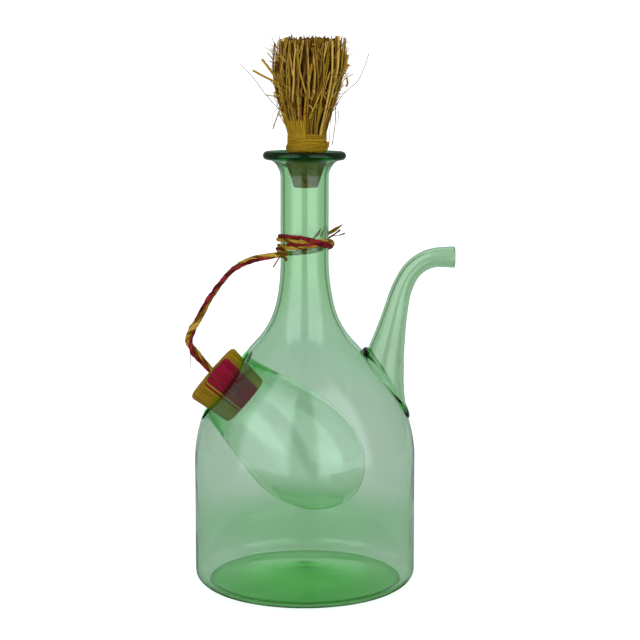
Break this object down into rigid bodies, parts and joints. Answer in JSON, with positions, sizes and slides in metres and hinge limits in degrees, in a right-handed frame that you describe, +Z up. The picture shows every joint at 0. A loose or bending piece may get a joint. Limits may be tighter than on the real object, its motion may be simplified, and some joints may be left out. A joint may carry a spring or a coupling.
{
  "type": "glass wine decanter with ice pocket",
  "caption": "Green blown-glass decanter with an angled ice pocket, curved pouring spout, cork stopper under a bound straw bundle, and a raffia-wrapped plug on a twisted cord.",
  "frame": {"origin": "centre of the flat foot, on the bottle's axis, in the plane it stands on", "axes": "+Z up along the bottle's axis; +X towards the pouring spout; the ice pocket's mouth faces -X and up"},
  "size_m": [0.17, 0.14, 0.3461],
  "materials": {
    "green_glass": "clear green blown glass, smooth",
    "cork": "matte cork",
    "straw": "dry straw stalks",
    "natural_raffia": "ochre raffia, slight sheen",
    "red_raffia": "magenta-red raffia, slight sheen"
  },
  "bodies": {
    "glass": {"bottle_body": "green_glass", "ice_pocket": "green_glass", "pour_spout": "green_glass", "neck_wrap_natural": "natural_raffia", "neck_wrap_red": "red_raffia", "neck_knot": "natural_raffia", "tail_natural": "natural_raffia", "tail_red": "red_raffia", "tail_thin": "natural_raffia", "knot_tail": "natural_raffia"},
    "stopper": {"cork_stopper": "cork", "straw_bundle": "straw", "binding_wrap": "natural_raffia", "binding_leaf": "natural_raffia", "binding_knot": "natural_raffia", "outer_straw_01": "straw", "outer_straw_02": "straw", "outer_straw_03": "straw", "outer_straw_04": "straw", "outer_straw_05": "straw", "outer_straw_06": "straw", "outer_straw_07": "straw", "outer_straw_08": "straw", "outer_straw_09": "straw", "outer_straw_10": "straw", "outer_straw_11": "straw", "outer_straw_12": "straw", "outer_straw_13": "straw", "outer_straw_14": "straw"},
    "ice_plug": {"plug_core": "cork", "plug_wrap_natural": "natural_raffia", "plug_wrap_red": "red_raffia", "plug_strand_natural": "natural_raffia", "plug_strand_red": "red_raffia", "plug_tie": "natural_raffia"},
    "tether": {"tether_natural": "natural_raffia", "tether_red": "red_raffia"}
  },
  "joints": [
    {"name": "stopper_lift", "type": "slide", "parent": "glass", "child": "stopper", "axis": [0, 0, 1], "range_m": [0, 0.06]},
    {"name": "plug_pull", "type": "slide", "parent": "glass", "child": "ice_plug", "axis": [-0.7547, 0, 0.6561], "range_m": [0, 0.032]},
    {"name": "cord_swing", "type": "hinge", "parent": "glass", "child": "tether", "pos_m": [-0.0185, -0.0115, 0.2138], "axis": [0, 1, 0], "range_deg": [0, 21.5]}
  ],
  "couplings": [
    {"joint": "cord_swing", "follows": "plug_pull", "rad_per_m": 11.487}
  ]
}
